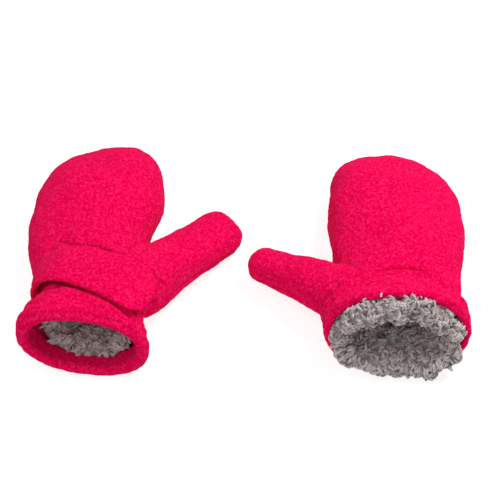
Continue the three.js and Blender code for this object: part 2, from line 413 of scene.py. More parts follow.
def vertex_normals(points, quads):
    """The normals of a quad mesh's points, weighted by the faces' areas."""
    across = points[quads[:, 2]] - points[quads[:, 0]]
    along = points[quads[:, 3]] - points[quads[:, 1]]
    flat = np.cross(across, along)
    return unit(sum(summed(corner, flat, len(points)) for corner in quads.T))


# ---------------------------------------------------------------- the mitten's form

def ring_section(half_width, half_height, power):
    """Points round a section with the power's roundness, as places across it and up."""
    across = half_width * signed_power(np.cos(RING_ANGLE), 2 / power)
    return across, half_height * signed_power(np.sin(RING_ANGLE), 2 / power)


def hand_ring(spec, rows, inset):
    """Rings of the hand for rows of stations, moved inwards by inset, which may differ per ring."""
    y, half_width, half_height, x, z, share = (rows[:, i : i + 1] for i in range(6))
    power = np.where(np.sin(RING_ANGLE) >= 0, TOP_POWER, BOTTOM_POWER - MOUTH_ROUNDER * share)
    across, up = ring_section(half_width - inset, half_height - inset, power)
    leaned = y + share * (spec["lean"] * up + spec["yaw"] * across)
    return columns_of(x + across, leaned, z + up - share * spec["roll"] * across)


def hand_rows(spec, offsets):
    """Smooth stations at the given distances behind the mouth."""
    return smooth_rows(spec["stations"], spec["stations"][0][0] + offsets)


def hand_solid(spec, name, profile, inset):
    """The hand's solid. profile gives its first rings as distances behind the mouth and insets."""
    profile = np.asarray(profile, dtype=float)
    mouth, shoulder = spec["stations"][0][0], spec["stations"][-1][0]
    offsets = np.linspace(profile[-1, 0], shoulder - mouth, HAND_STEPS)[1:]
    rows = hand_rows(spec, np.concatenate([np.maximum(profile[:, 0], 0), offsets]))
    rows[: len(profile), 0] = mouth + profile[:, 0]
    insets = np.concatenate([profile[:, 1], np.full(len(offsets), inset)])[:, None]
    rings = hand_ring(spec, rows, insets)
    along, shrink = np.sin(TIP_TURN), np.cos(TIP_TURN)
    _, half_width, half_height, x, z, _ = spec["stations"][-1]
    tip = columns_of(
        shoulder + (spec["tip_y"] - shoulder - inset) * along,
        (half_width - inset) * shrink,
        (half_height - inset) * shrink,
        x + TIP_SHIFT * along**2,
        z - TIP_DROP * along,
        0.0,
    )
    return closed_solid(name, np.concatenate([rings, hand_ring(spec, tip, 0)]))


def thumb_place(spec, distance, across, z):
    """Points given by their distance along the thumb's axis and their place across it."""
    turn = math.radians(spec["thumb_turn"])
    x = spec["thumb_root"][0] + math.cos(turn) * distance + math.sin(turn) * across
    y = spec["thumb_root"][1] + math.sin(turn) * distance - math.cos(turn) * across
    return columns_of(x, y, z)


def thumb_solid(spec, name, inset):
    """The thumb's solid, whose start is buried in the hand."""
    stations = spec["thumb_stations"]
    start = stations[-1][0]
    rows = smooth_rows(stations, np.linspace(stations[0][0], start, THUMB_STEPS))
    rows[:, 1:3] -= inset
    shrink = np.cos(TIP_TURN) ** spec["thumb_blunt"]
    _, half_width, half_height, z = stations[-1]
    tip = columns_of(
        start + (spec["thumb_tip"] - start - inset) * np.sin(TIP_TURN),
        (half_width - inset) * shrink,
        (half_height - inset) * shrink,
        z,
    )
    rows = np.vstack([rows, tip])
    distance, half_width, half_height, z = (rows[:, i : i + 1] for i in range(4))
    across, up = ring_section(half_width, half_height, THUMB_POWER)
    return closed_solid(name, thumb_place(spec, distance, across, z + up))


def round_lip(outer, inner, front, depth, steps=8):
    """Two profiles, of a wall's outer and inner face, that meet in a round lip at front."""
    middle = (outer + inner) / 2
    turn = np.linspace(0, math.pi / 2, steps)
    along = front + depth * (1 - np.cos(turn))
    outside = middle + (outer - middle) * np.sin(turn)
    inside = middle + (inner - middle) * (0.12 + 0.88 * np.sin(turn))
    return columns_of(along, outside), columns_of(along, inside)


def hollow(spec, name, outside, inside, outer, inner):
    """The wall between two insets, over hand and thumb, with the mouth's two profiles."""
    wall = hand_solid(spec, name, outside, outer)
    joined(wall, thumb_solid(spec, "thumb", outer), "UNION")
    reach = np.vstack([[inside[0, 0] - 30, inside[0, 1]], inside])
    room = hand_solid(spec, "room", reach, inner)
    joined(room, thumb_solid(spec, "thumb", inner), "UNION")
    return joined(wall, room, "DIFFERENCE")


def hand_coordinates(spec, points):
    """Each point's distance along the hand, and its place across and up in half sizes."""
    stations = np.asarray(spec["stations"], dtype=float)
    mouth, shoulder = stations[0, 0], stations[-1, 0]
    along = points[:, 1].copy()
    for _ in range(4):
        row = smooth_rows(stations, np.clip(along, mouth, shoulder))
        across = points[:, 0] - row[:, 3]
        up = points[:, 2] - row[:, 4] + row[:, 5] * spec["roll"] * across
        along = points[:, 1] - row[:, 5] * (spec["lean"] * up + spec["yaw"] * across)
    return along, across, up, across / row[:, 1], up / row[:, 2]


def outwardness(side, height, normals):
    """1 where the hand's surface faces away from its middle line and -1 where it faces it."""
    radial = unit(columns_of(side, 0.0, height))
    return (radial * normals).sum(axis=1)


def thumb_coordinates(spec, points):
    """Each point's distance along the thumb's axis, its place across it and its height over it."""
    turn = math.radians(spec["thumb_turn"])
    dx, dy = points[:, 0] - spec["thumb_root"][0], points[:, 1] - spec["thumb_root"][1]
    distance = math.cos(turn) * dx + math.sin(turn) * dy
    across = math.sin(turn) * dx - math.cos(turn) * dy
    stations = np.asarray(spec["thumb_stations"], dtype=float)
    row = smooth_rows(stations, np.clip(distance, stations[0, 0], stations[-1, 0]))
    return distance, across, points[:, 2] - row[:, 3]


def on_thumb(spec, points):
    """True where a point is on the thumb's side of its joint with the hand."""
    from_x, from_y = spec["thumb_from"]
    crotch_x, crotch_y = spec["crotch"]
    slope = math.tan(math.radians(spec["spread"]))
    edge = crotch_y + slope * np.maximum(points[:, 0] - crotch_x, 0)
    return (points[:, 0] > from_x) & (points[:, 1] > from_y) & (points[:, 1] < edge)


def strap_coordinates(spec, points):
    """Each point's place along the strap, seen from above, and across its width."""
    slant = math.radians(spec["strap_slant"])
    dx, dy = points[:, 0] - spec["strap_root"][0], points[:, 1] - spec["strap_root"][1]
    along = math.cos(slant) * dx - math.sin(slant) * dy
    across = math.sin(slant) * dx + math.cos(slant) * dy
    return along, across


# ---------------------------------------------------------------- the shell's relief

def shell_relief(spec, points, normals):
    """How far the fleece stands out along its normals."""
    seed = spec["seed"]
    along, across, up, side, height = hand_coordinates(spec, points)
    distance, thumb_across, thumb_up = thumb_coordinates(spec, points)
    thumb = fade(points[:, 0], spec["crotch"][0] - 4, spec["crotch"][0] + 6) * fade(distance, 0, 20)
    outside = np.maximum(fade(outwardness(side, height, normals), -0.2, 0.35), thumb)
    behind_mouth = along - spec["stations"][0][0]
    waist = along - spec["waist_y"]
    hand_only = 1 - thumb

    # The seam that runs round the hand and the thumb pulls the padding in.
    hand_seam = up - spec["seam_roll"] * across
    thumb_seam = thumb_up + 0.5 * spec["seam_roll"] * thumb_across
    seam = np.where(thumb > 0.5, thumb_seam, hand_seam)
    relief = -SEAM_DEPTH * peak(seam, 1.2) * outside * fade(behind_mouth, 2, 10)
    relief += 0.45 * peak(np.abs(seam) - 3.6, 2.2) * outside

    # The elastic at the wrist gathers the cloth into short folds.
    angle = np.arctan2(height, side)
    wander = 0.55 * ripples(points, 34, seed + 1)
    folds = np.sin(19 * angle + 2.2 * wander) + 0.5 * np.sin(31 * angle + 3 * wander + 1)
    strength = 0.3 + 1.1 * fade(side, 0.4, 0.85)
    strength *= 1 - 0.75 * fade(height, 0.35, 0.8)
    relief += strength * folds * peak(waist, 12) * hand_only * outside

    # Soft wrinkles of the cuff, parallel to its mouth.
    cuff = fade(-waist, 5, 11) * fade(behind_mouth, 3, 9) * hand_only * outside
    lines = 2 * math.pi * (along + 0.12 * across) / 8.5 + 1.5 * ripples(points, 45, seed + 2)
    relief += 0.55 * np.sin(lines) * cuff * (0.55 + 0.45 * ripples(points, 28, seed + 3))
    pleats = np.sin(2 * math.pi * up / 6.5 + 0.8 * ripples(points, 30, seed + 8))
    relief += 0.6 * pleats * cuff * fade(side, 0.72, 0.9) * fade(height, -0.4, 0.1)

    # Loose padding: broad swells, smaller dents and the nap's lumps.
    swell = fade(behind_mouth, 0, 12) * outside
    relief += (0.5 * ripples(points, 46, seed + 4) + 0.3 * ripples(points, 19, seed + 5)) * swell
    relief += 0.08 * ripples(points, 5.5, seed + 6) + 0.07 * ripples(points, 2.9, seed + 7)
    relief += strap_relief(spec, points, height, hand_only)
    if spec["strap_above"] < 0:
        relief += crest_relief(along, side, height, behind_mouth) * outside
    return np.maximum(relief, -DEEPEST_FOLD)


def strap_relief(spec, points, height, hand_only):
    """The strap presses the wrist in, and the padding swells beyond both of its edges."""
    above = spec["strap_above"]
    strap_along, strap_across = strap_coordinates(spec, points)
    line = np.asarray(spec["strap_line"], dtype=float)
    line = line[line[:, 0].argmin() :]
    over = above * (points[:, 2] - np.interp(strap_along, line[:, 0], line[:, 1]))
    strap_across = strap_across - spec["end_flare"] * fade(strap_along, 12, 60) * fade(strap_across, 0, 12)
    facing = fade(above * height, 0.1, 0.5)
    under = fade(strap_along, 3, 14) * (1 - fade(strap_along, 78, 92)) * facing * hand_only
    pressed = 1 - fade(np.abs(strap_across), 13, 16.5)
    relief = -np.clip(over + 2.4, 0, 3) * pressed
    beyond = fade(strap_across, 14, 17) * (1 - fade(strap_across, 22, 50))
    relief += np.clip(1.2 - over, 0, 3.6) * beyond
    crest = peak(strap_across + 20, 4.6) * fade(strap_along, 14, 30)
    crest *= 1 - fade(strap_along, 60, 75)
    relief += np.clip(2.6 - over, 0, 5.5) * crest
    relief -= 2.6 * peak(strap_across + 16.2, 1.3) * fade(strap_along, 20, 30)
    if above > 0:
        dimple = (points[:, 0] + 15) ** 2 / 30 + (points[:, 1] - 19) ** 2 / 9
        relief -= 1.5 * np.exp(-dimple)
        lens = strap_across + 17.5 + 6 * (1 - fade(strap_along, 2, 30))
        gap = peak(lens, 3.2) * (1 - fade(strap_along, 24, 34))
        relief = relief * (1 - gap) - 3.6 * gap
    return relief * under


def crest_relief(along, side, height, behind_mouth):
    """The turned-down cuff's hem: a ridge round the wrist with a narrow crease behind it."""
    line = along + 11.5 + 17.5 * side**2
    strength = 0.65 + 0.35 * np.maximum(fade(side, 0.0, 0.5), fade(-side, 0.1, 0.4))
    top = fade(height, -0.9, -0.4)
    thumb_side = fade(side, 0.3, 0.8)
    ridge = (3.8 + 1.4 * thumb_side - 1.8 * fade(-side, 0.5, 0.9)) * peak(line + 3.0, 2.6)
    crease_width = 1.5 + 1.9 * thumb_side
    crease = (4.6 + 0.4 * thumb_side) * peak(line - 1.2 - 1.6 * thumb_side, crease_width)
    hem = 0.6 * peak(behind_mouth - 6, 1.0) * fade(side, -0.1, 0.4)
    return (ridge - crease) * strength * top - hem


def lifted_mouth(spec, points):
    """Lifts and draws back the mouth's upper edge, and draws its lower edge forward."""
    along, _, _, _, height = hand_coordinates(spec, points)
    behind_mouth = along - spec["stations"][0][0]
    points[:, 1] -= spec["lip_drop"] * fade(-height, 0.0, 0.8) * (1 - fade(behind_mouth, -2, 28))
    share = fade(height, 0.1, 0.9) * (1 - fade(behind_mouth, -2, 15))
    points[:, 1] += spec["lip_rise"] * share
    points[:, 2] += spec["lip_rise"] * share
    return points


def above_table(points):
    """Cloth that would sink into the table lies flat on it."""
    low = points[:, 2] < LOWEST_CLOTH
    points[low, 2] = LOWEST_CLOTH * np.exp((points[low, 2] - LOWEST_CLOTH) / LOWEST_CLOTH)
    return points


# ---------------------------------------------------------------- pieces of the pair

def shown_piece(spec, name, points, quads, normals):
    """A smooth piece in the row frame. Its normals match those of the mesh it was cut from."""
    used, inverse = np.unique(quads, return_inverse=True)
    made = placed(spec, name, points[used], inverse.reshape(quads.shape).tolist())
    made.data.normals_split_custom_set_from_vertices(turned(spec, normals[used]).tolist())
    return made


def two_pieces(spec, layer, points, quads, *facing):
    """The layer as a piece of the hand and a piece of the thumb, split at the crotch."""
    body = spec["name"]
    normals = vertex_normals(points, quads)
    thumb_faces = on_thumb(spec, points[quads].mean(axis=1))
    hand = shown_piece(spec, f"{body}_{layer}", points, quads[~thumb_faces], normals)
    thumb = shown_piece(spec, f"{body}_thumb_{layer}", points, quads[thumb_faces], normals)
    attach(hand, f"{body}_mitten")
    crotch_x, crotch_y = spec["crotch"]
    bend_x = crotch_x + BEND_START
    at(spec, bend_x, crotch_y, 20)
    at(spec, bend_x + BEND_LENGTH, crotch_y, 20)
    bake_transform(thumb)
    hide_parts(f"{body}_{layer}_back", f"{body}_{layer}_palm", *facing)
    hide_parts(f"{body}_thumb_{layer}_back", f"{body}_thumb_{layer}_palm")
    return hand, thumb


def make_shell(spec):
    """The fleece shell. The left one's hem is turned into its mouth as a second layer."""
    wall = FLEECE + FACING if spec["mirror"] > 0 else FLEECE
    outside, inside = round_lip(LIP_INSET, LIP_INSET + wall, 0, wall * 0.55)
    # The cuff is widest a little behind its mouth, where it turns in.
    turn = np.linspace(0, math.pi / 2, 10)[2:]
    shoulder = columns_of(LIP_DEPTH * (1 - np.cos(turn)), LIP_INSET * (1 - np.sin(turn)))
    outside = np.vstack([outside[:-1], shoulder[shoulder[:, 0] > outside[-2, 0]]])
    inside = np.vstack([inside, [[LIP_DEPTH, wall + 0.6 * LIP_INSET]], [[LIP_DEPTH + 6, wall + 0.8]]])
    if spec["mirror"] > 0:
        turn_in = [[FACING_DEPTH - 1, wall], [FACING_DEPTH + 1.5, FLEECE]]
        inside = np.vstack([inside, turn_in])
    shell = hollow(spec, "shell", outside, inside, 0, FLEECE)
    remeshed(shell, SHELL_VOXEL)
    points, quads, edges, normals = mesh_arrays(shell.data)
    points = relaxed(points / MM, edges, 5)
    points = points + shell_relief(spec, points, normals)[:, None] * normals
    points = relaxed(points, edges, 1, 0.3)
    points = above_table(lifted_mouth(spec, points))
    bpy.data.objects.remove(shell)
    facing = ["left_cuff_facing"] if spec["mirror"] > 0 else []
    return two_pieces(spec, "shell", points, quads, *facing)


def lining_form(spec):
    """The pile lining's closed wall. The right one is rolled out over its mouth."""
    outer = LINING_INSET
    inner = FLEECE + LAYER_GAP + PILE
    if spec["mirror"] > 0:
        front = FACING_DEPTH + 1.8
        outside, inside = round_lip(outer, inner + 1.5, front, 3.5)
        inside = np.vstack([inside, [[front + 12, inner + 0.5]]])
    else:
        turn = np.linspace(0, math.pi / 2, 10)
        front, middle = -6.0, 10.5
        top = middle - 0.4
        outside = columns_of(front * np.cos(turn), top - (top - ROLL_INSET) * np.sin(turn))
        outside = np.vstack([outside, [[6, ROLL_INSET]], [[9, outer]]])
        inside = columns_of(front + 8.5 * (1 - np.cos(turn)), middle + 0.4 + 5.6 * np.sin(turn))
        inside = np.vstack([inside, [[9, 17.0]], [[22, 13.0]], [[36, inner + 0.8]]])
    return hollow(spec, "lining", outside, inside, outer, inner)


def make_lining(spec):
    """The pile lining with its curled strands."""
    lining = remeshed(lining_form(spec), LINING_VOXEL)
    points, quads, edges, normals = mesh_arrays(lining.data)
    points = relaxed(points / MM, edges, 3)
    along, _, _, side, height = hand_coordinates(spec, points)
    behind_mouth = along - spec["stations"][0][0]
    inward = fade(-outwardness(side, height, normals), -0.3, 0.3)
    if spec["mirror"] < 0:
        inward = np.maximum(inward, 1 - fade(behind_mouth, 4.0, 7.0))
    lumps = 0.9 * ripples(points, 12, spec["seed"] + 8) + 0.7 * ripples(points, 6.5, spec["seed"] + 9)
    points = points + (lumps * inward)[:, None] * normals
    if spec["mirror"] < 0:
        points[:, 2] -= ROLL_SAG * (1 - fade(behind_mouth, 4, 22)) * fade(-height, -0.9, 0.6)
        front = 1 - fade(behind_mouth, 0, 9)
        points[:, 2] += ROLL_LIFT * front * fade(height, 0.2, 0.9)
        points[:, 1] -= ROLL_CORNER * front * fade(-height, 0.1, 0.6) * fade(-side, 0.1, 0.6)
    if spec["mirror"] > 0:
        behind_front = behind_mouth - FACING_DEPTH
        forward = LOWER_FORWARD * fade(-height, 0.1, 0.8) * (1 - fade(behind_front, 2, 28))
        points[:, 1] -= forward
    points = above_table(lifted_mouth(spec, points))
    bpy.data.objects.remove(lining)
    hand, thumb = two_pieces(spec, "lining", points, quads)
    return hand, thumb, make_curls(spec, points, quads, inward)


def make_curls(spec, points, quads, inward):
    """Curled locks of pile, as tapered strands that rise from the lining and bend over."""
    seed = spec["seed"]
    rng = np.random.default_rng(seed)
    count = CURL_COUNT
    normals = vertex_normals(points, quads)
    centres = points[quads].mean(axis=1)
    along = hand_coordinates(spec, centres)[0] - spec["stations"][0][0]
    shown = (inward[quads].mean(axis=1) > 0.35) & (along < CURL_DEPTH) & ~on_thumb(spec, centres)
    chosen = quads[shown]
    sides = points[chosen]
    area = np.linalg.norm(np.cross(sides[:, 2] - sides[:, 0], sides[:, 3] - sides[:, 1]), axis=1)
    density = area * (1.25 - 0.75 * fade(along[shown], 25, CURL_DEPTH))
    picks = rng.choice(len(chosen), count, p=density / density.sum())
    u, v = rng.random((2, count, 1))
    corners = sides[picks]
    roots = (
        corners[:, 0] * (1 - u) * (1 - v)
        + corners[:, 1] * u * (1 - v)
        + corners[:, 2] * u * v
        + corners[:, 3] * (1 - u) * v
    )
    normal = unit(normals[chosen[picks]].mean(axis=1))
    # Neighbouring strands lean the same way, in locks a few millimetres wide.
    lean = columns_of(*(ripples(roots, CURL_LOCK, seed + 20 + i) for i in range(3)))
    lean += 0.35 * rng.normal(size=lean.shape)
    sideways = unit(lean - (lean * normal).sum(axis=1, keepdims=True) * normal)
    binormal = np.cross(normal, sideways)
    length = rng.uniform(*CURL_LENGTH, (count, 1)) * (1 + 0.15 * ripples(roots, 12, seed + 30)[:, None])
    bend = rng.uniform(*CURL_BEND, (count, 1))
    thick = rng.uniform(*CURL_RADIUS, (count, 1))
    place = roots - CURL_ROOTED * normal
    rings = []
    for i in range(CURL_RINGS):
        share = i / (CURL_RINGS - 1)
        turn = 0.25 + bend * share
        ahead = np.cos(turn) * normal + np.sin(turn) * sideways
        outward = -np.sin(turn) * normal + np.cos(turn) * sideways
        radius = thick * (1 - 0.5 * share**2)
        twist = rng.uniform(-0.25, 0.25, (count, 1))
        for j in range(CURL_SIDES):
            phase = 2 * math.pi * j / CURL_SIDES
            rings.append(place + radius * (math.cos(phase) * binormal + math.sin(phase) * outward))
        place = place + length / (CURL_RINGS - 1) * (ahead + twist * binormal)
    grid = np.stack(rings, axis=1)
    columns = CURL_RINGS * CURL_SIDES
    base = np.arange(count)[:, None] * columns
    faces = []
    for i in range(CURL_RINGS - 1):
        for j in range(CURL_SIDES):
            k = (j + 1) % CURL_SIDES
            row, above = i * CURL_SIDES, (i + 1) * CURL_SIDES
            faces.append(base + np.array([[row + j, row + k, above + k, above + j]]))
    faces = np.concatenate(faces).tolist()
    made = placed(spec, f"{spec['name']}_pile_curls", above_table(grid.reshape(-1, 3)), faces)
    # How far along its strand each point lies, from which the material paints shade towards the roots.
    share = np.tile(np.repeat(np.linspace(0, 1, CURL_RINGS), CURL_SIDES), count)
    tint = np.repeat(rng.random(count), columns)
    colours = columns_of(share, tint, 0.0, 1.0)
    layer = made.data.color_attributes.new("strand", "FLOAT_COLOR", "POINT")
    layer.data.foreach_set("color", colours.ravel())
    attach(made, f"{spec['name']}_mitten")
    return made


def running(points, power=1):
    """For each point, the sum of the steps up to it, each step's length raised to the power."""
    steps = np.linalg.norm(np.diff(points, axis=0), axis=1)
    return np.concatenate([[0], np.cumsum(steps**power)])


def sampled(places, known, points):
    """Points between the given ones, which lie at known places along their line."""
    return columns_of(*(np.interp(places, known, column) for column in points.T))


def strap_centre(spec, count):
    """Even points along the strap's line, their directions and their distances along it."""
    line = np.asarray(spec["strap_line"], dtype=float)
    chord = running(line, 0.5)
    fine = smooth_rows(np.column_stack([chord, line]), np.linspace(0, chord[-1], FINE_STEPS))[:, 1:]
    run = running(fine)
    reach = np.linspace(0, run[-1], count)
    points = sampled(reach, run, fine)
    return points, unit(np.gradient(points, axis=0)), reach


def strap_point(spec, centre, direction, across, height):
    """A point of the strap: across its width, and height over its line on its outer side."""
    above = spec["strap_above"]
    slant = math.radians(spec["strap_slant"])
    along = centre[..., 0] - above * direction[..., 1] * height
    z = centre[..., 1] + above * direction[..., 0] * height
    x = spec["strap_root"][0] + math.cos(slant) * along + math.sin(slant) * across
    y = spec["strap_root"][1] - math.sin(slant) * along + math.cos(slant) * across
    return columns_of(x, y, z)


def strap_droop(across, reach):
    """The strap's upper edge hugs the hand."""
    return -2.0 * fade(across, 5, 15) * fade(reach, 6, 20)


def strap_rings(spec):
    """Rings of points round the strap's two layers of fleece, sewn together at a soft edge."""
    centre, direction, reach = strap_centre(spec, STRAP_ROWS)
    left = reach[-1] - reach
    cut = np.maximum(0, STRAP_CORNER - left)
    half = STRAP_WIDTH / 2 - STRAP_CORNER + np.sqrt(np.maximum(STRAP_CORNER**2 - cut**2, 0))
    half = half + STRAP_EDGE
    end = np.sqrt(1 - np.clip(1 - left / 2.2, 0, 1) ** 2)
    thick = STRAP_THICK * np.maximum(end, 0.12)
    angle = np.linspace(0, 2 * math.pi, STRAP_COLUMNS, endpoint=False)
    across = half[:, None] * signed_power(np.cos(angle), 2 / 7)[None, :]
    lift = thick[:, None] / 2 * signed_power(np.sin(angle), 2 / 2.3)[None, :]
    # A row of stitches a little inside the edge pulls the layers together.
    inside = half[:, None] - np.abs(across)
    lift = lift * (1 - 0.22 * peak(inside - STITCH_INSET, 1.3))
    lift = lift * (1 - 0.4 * fade(across, 7, 15))
    heights = STRAP_THICK / 2 - 0.3 + lift + strap_droop(across, reach[:, None])
    grid = strap_point(spec, centre[:, None, :], direction[:, None, :], across, heights)
    # Near its root the strap's lower edge tucks in round the narrow wrist.
    tuck = (1 - fade(reach, 14, 44))[:, None] * fade(-across, 0, 15)
    grid[..., 0] += spec["root_tuck"] * tuck
    # It is cut wider towards the seam that holds it, and towards its free end.
    root_share = (1 - fade(reach, *ROOT_FLARE_FADE))[:, None] * fade(-across, 0, 15)
    end_share = fade(reach, *END_FLARE_FADE)[:, None] * fade(across, 0, 15)
    grid[..., 1] += spec["end_flare"] * end_share - spec["root_flare"] * root_share
    return grid


def make_strap(spec):
    """The strap, sewn on at one end."""
    name, above = spec["name"], spec["strap_above"]
    grid = strap_rings(spec)
    rows, columns, _ = grid.shape
    points = grid.reshape(-1, 3)
    seed = spec["seed"] + 40
    quads = np.array(tube_faces(rows, columns))
    normals = vertex_normals(points, quads)
    if (normals[:, 2] * (points[:, 2] - points[:, 2].mean())).sum() * above < 0:
        quads = quads[:, ::-1]
        normals = -normals
    swell = 0.35 * ripples(points, 26, seed) + 0.12 * ripples(points, 9, seed + 1)
    nap = 0.1 * ripples(points, 4.5, seed + 2) + 0.08 * ripples(points, 2.6, seed + 3)
    points = above_table(points + (swell + nap)[:, None] * normals)
    first_ring = list(range(columns))
    last_ring = list(range((rows - 1) * columns, rows * columns))
    strap = placed(spec, f"{name}_strap", points, quads.tolist() + [first_ring, last_ring[::-1]])
    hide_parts(f"{name}_strap_top", f"{name}_strap_under")
    centre, direction, reach = strap_centre(spec, STRAP_ROWS)
    length = reach[-1]
    flares = spec["root_flare"] * sum(ROOT_FLARE_FADE) / 2
    flares += spec["end_flare"] * (length - sum(END_FLARE_FADE) / 2)
    root = strap_point(spec, centre[0], direction[0], 0, 0)
    free = strap_point(spec, centre[0] + np.array([2.5, 10 * above]), direction[0], 0, 0)
    at(spec, *root)
    at(spec, *free)
    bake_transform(strap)
    return strap


def make_elastic(spec):
    """The elastic band round the wrist, from one side of the thumb's way in to the other."""
    waist = spec["waist_y"] - spec["stations"][0][0]
    half = ELASTIC_WIDTH / 2
    profile = [(-half, 0), (half, 0), (half, ELASTIC_THICK), (-half, ELASTIC_THICK)]
    rows = hand_rows(spec, np.array([waist + along for along, _ in profile]))
    insets = np.array([[ELASTIC_INSET + depth] for _, depth in profile])
    rings = hand_ring(spec, rows, insets)
    distance, thumb_across, _ = thumb_coordinates(spec, rings[0])
    kept = (distance < 0) | (np.abs(thumb_across) > ELASTIC_OPENING) | (rings[0][:, 0] < 0)
    first = int(np.argmin(kept))
    order = [i for i in np.roll(np.arange(RING_POINTS), -first) if kept[i]]
    band = rings[:, order]
    sides, columns, _ = band.shape
    faces = []
    for i in range(sides):
        j = (i + 1) % sides
        for k in range(columns - 1):
            faces.append([i * columns + k, j * columns + k, j * columns + k + 1, i * columns + k + 1])
    faces.append([i * columns for i in range(sides)][::-1])
    faces.append([i * columns + columns - 1 for i in range(sides)])
    name = spec["name"]
    elastic_band = placed(spec, f"{name}_elastic", band.reshape(-1, 3), faces)
    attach(elastic_band, f"{name}_mitten")
    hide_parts(f"{name}_wrist_elastic")
    return elastic_band


def patch_grid(spec):
    """Places on the strap's inner face where its sewn patch lies: rows along it and columns across."""
    centre, direction, reach = strap_centre(spec, FINE_STEPS)
    end = reach[-1] - PATCH_INSET
    wanted = np.linspace(end - PATCH_LENGTH, end, PATCH_ROWS)
    line = sampled(wanted, reach, centre)
    along = unit(sampled(wanted, reach, direction))
    across = np.linspace(-PATCH_WIDTH / 2, PATCH_WIDTH / 2, PATCH_COLUMNS)[None, :]
    heights = strap_droop(across, wanted[:, None]) - 0.2
    return strap_point(spec, line[:, None, :], along[:, None, :], across, heights)


def thickened(spec, name, grid, keep, outward):
    """A thin patch over the kept cells of a grid of points, on the side that outward points to."""
    rows, columns, _ = grid.shape
    index = np.arange(rows * columns).reshape(rows, columns)
    quads = np.stack([index[:-1, :-1], index[1:, :-1], index[1:, 1:], index[:-1, 1:]], axis=-1)
    quads = quads[keep[:-1, :-1] & keep[1:, :-1] & keep[1:, 1:] & keep[:-1, 1:]]
    points = to_row_frame(spec, grid.reshape(-1, 3))
    used, inverse = np.unique(quads, return_inverse=True)
    faces = inverse.reshape(quads.shape)
    corners = points[quads[0]]
    normal = np.cross(corners[2] - corners[0], corners[3] - corners[1])
    if normal[2] * outward < 0:
        faces = faces[:, ::-1]
    patch = make_object(name, points[used], faces.tolist())
    solidify = patch.modifiers.new("thickness", "SOLIDIFY")
    solidify.thickness = PATCH_THICK * MM
    solidify.offset = 1.0
    return with_modifiers(patch)


def make_patches(spec, shell):
    """The hook patch under the strap's end and the loop patch that it closes on."""
    name, above = spec["name"], spec["strap_above"]
    grid = patch_grid(spec)
    rows, columns, _ = grid.shape
    hook = thickened(spec, f"{name}_hooks", grid, np.ones((rows, columns), dtype=bool), -above)
    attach(hook, f"{name}_strap")
    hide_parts(f"{name}_hook_patch")
    corners = [tuple(v.co) for v in shell.data.vertices]
    cloth = BVHTree.FromPolygons(corners, [tuple(p.vertices) for p in shell.data.polygons])
    flat = grid.reshape(-1, 3)
    starts = to_row_frame(spec, flat + np.array([0, 0, 3.0 * above]))
    landed = flat.copy()
    keep = np.zeros(len(flat), dtype=bool)
    for i, start in enumerate(starts):
        hit = cloth.ray_cast(Vector(start), Vector((0, 0, -above)), LOOP_REACH * MM)[0]
        if hit is not None:
            landed[i, 2] = hit[2] / MM - 0.1 * above
            keep[i] = flat[i, 0] < spec["thumb_from"][0] - LOOP_MARGIN
    keep = keep.reshape(rows, columns)
    loop = thickened(spec, f"{name}_loops", landed.reshape(rows, columns, 3), keep, above)
    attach(loop, f"{name}_mitten")
    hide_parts(f"{name}_loop_patch")
    return hook, loop


# ---------------------------------------------------------------- materials

# Noise scales, in cycles per metre.
NAP = 560
NAP_LUMPS = 170
SHADES = 28
PILE_GRAIN = 900
PILE_LOCKS = 210
RIBS = 220

WHITE = (1, 1, 1)


def set_inputs(node, settings):
    for name, value in settings.items():
        node.inputs[name].default_value = value


def new_material(name, settings):
    """A material with these settings on its shader, and its node tree."""
    material = bpy.data.materials.new(name)
    material.use_nodes = True
    set_inputs(material.node_tree.nodes["Principled BSDF"], settings)
    return material, material.node_tree


def add_node(tree, kind, settings, links):
    """A node with some inputs set and others linked to the given outputs."""
    node = tree.nodes.new(kind)
    set_inputs(node, settings)
    for name, output in links.items():
        tree.links.new(output, node.inputs[name])
    return node


def add_texture(tree, kind, output, settings):
    """The output of a texture that stays with the object."""
    place = tree.nodes.new("ShaderNodeTexCoord").outputs["Object"]
    return add_node(tree, kind, settings, {"Vector": place}).outputs[output]


def noise(tree, scale, detail=2.0, roughness=0.5):
    settings = {"Scale": scale, "Detail": detail, "Roughness": roughness}
    return add_texture(tree, "ShaderNodeTexNoise", "Fac", settings)


def ramp(tree, source, stops):
    """Colours for values, blended between stops that each have a value and a colour."""
    node = add_node(tree, "ShaderNodeValToRGB", {}, {"Fac": source})
    elements = node.color_ramp.elements
    for index in (0, -1):
        elements[index].position = stops[index][0]
        elements[index].color = (*stops[index][1], 1)
    for position, colour in stops[1:-1]:
        elements.new(position).color = (*colour, 1)
    return node.outputs["Color"]


def bump(tree, height, strength, distance, normal=None):
    links = {"Height": height}
    if normal is not None:
        links["Normal"] = normal
    settings = {"Strength": strength, "Distance": distance}
    return add_node(tree, "ShaderNodeBump", settings, links).outputs["Normal"]


def multiplied(tree, first, other):
    """The product of two colours."""
    node = tree.nodes.new("ShaderNodeMix")
    node.data_type = "RGBA"
    node.blend_type = "MULTIPLY"
    node.inputs["Factor"].default_value = 1.0
    tree.links.new(first, node.inputs["A"])
    tree.links.new(other, node.inputs["B"])
    return node.outputs["Result"]


def link_shader(tree, colour, normal):
    shader = tree.nodes["Principled BSDF"]
    tree.links.new(colour, shader.inputs["Base Color"])
    tree.links.new(normal, shader.inputs["Normal"])


